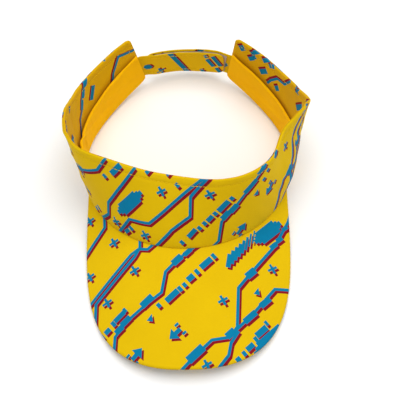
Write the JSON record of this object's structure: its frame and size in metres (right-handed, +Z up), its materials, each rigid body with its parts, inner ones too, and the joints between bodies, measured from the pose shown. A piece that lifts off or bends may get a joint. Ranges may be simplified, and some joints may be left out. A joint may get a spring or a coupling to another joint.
{
  "type": "sun visor",
  "caption": "Cloth sun visor: tall open head band, stiff curved brim, padded sweatband inside, hook-and-loop straps at the back.",
  "frame": {"origin": "middle of the head opening between the temples, on the plane that the visor's brim and wings rest on", "axes": "+Z up out of the head opening, -Y forward along the brim, +X to the side of the right wing"},
  "size_m": [0.1882, 0.2781, 0.0822],
  "materials": {
    "printed_cloth": "woven polyester cotton, yellow ground with blue and dark red print",
    "orange_sweatband_cloth": "plain soft woven cloth",
    "white_interlining": "stiff fused buckram",
    "brim_board_plastic": "semi-stiff sheet",
    "yellow_thread": "spun thread",
    "grey_loop_tape": "brushed loop pile",
    "grey_hook_tape": "moulded hooks on woven tape"
  },
  "bodies": {
    "front": {"brim_board": "brim_board_plastic", "brim_edge_seam_allowance": "printed_cloth", "brim_seam_allowance": "printed_cloth", "brim_top_cover": "printed_cloth", "brim_under_cover": "printed_cloth", "front_interlining": "white_interlining", "front_lining": "printed_cloth", "front_outer_panel": "printed_cloth", "front_sweatband": "orange_sweatband_cloth", "front_sweatband_stitching": "yellow_thread", "front_top_stitching": "yellow_thread"},
    "left_wing": {"left_wing_end_stitching": "yellow_thread", "left_wing_interlining": "white_interlining", "left_wing_lining": "printed_cloth", "left_wing_outer_panel": "printed_cloth", "left_wing_strap_root": "printed_cloth", "left_wing_sweatband": "orange_sweatband_cloth", "left_wing_sweatband_stitching": "yellow_thread", "left_wing_top_stitching": "yellow_thread"},
    "right_wing": {"right_wing_end_stitching": "yellow_thread", "right_wing_interlining": "white_interlining", "right_wing_lining": "printed_cloth", "right_wing_outer_panel": "printed_cloth", "right_wing_strap_root": "printed_cloth", "right_wing_sweatband": "orange_sweatband_cloth", "right_wing_sweatband_stitching": "yellow_thread", "right_wing_top_stitching": "yellow_thread"},
    "inner_strap": {"inner_strap": "printed_cloth", "inner_strap_loop_tape": "grey_loop_tape", "inner_strap_stitching": "yellow_thread"},
    "outer_strap": {"outer_strap": "printed_cloth", "outer_strap_hook_tape": "grey_hook_tape", "outer_strap_stitching": "yellow_thread"}
  },
  "joints": [
    {"name": "right_wing_flex", "type": "hinge", "parent": "front", "child": "right_wing", "pos_m": [0.08769, -0.00011, 0.0094], "axis": [-0.0812, -0.0151, -0.9966], "range_deg": [0, 8], "stiffness_Nm_per_rad": 0.6},
    {"name": "left_wing_flex", "type": "hinge", "parent": "front", "child": "left_wing", "pos_m": [-0.08769, -0.00011, 0.0094], "axis": [-0.0812, 0.0151, 0.9966], "range_deg": [0, 8], "stiffness_Nm_per_rad": 0.6},
    {"name": "inner_strap_peel", "type": "hinge", "parent": "left_wing", "child": "inner_strap", "pos_m": [-0.03634, 0.08742, 0.00872], "axis": [0.1348, 0.0423, -0.99], "range_deg": [0, 62]},
    {"name": "outer_strap_peel", "type": "hinge", "parent": "right_wing", "child": "outer_strap", "pos_m": [0.03634, 0.08742, 0.00872], "axis": [-0.1348, 0.0423, -0.99], "range_deg": [0, 75]}
  ],
  "couplings": [
    {"joint": "left_wing_flex", "follows": "right_wing_flex", "ratio": 1}
  ]
}
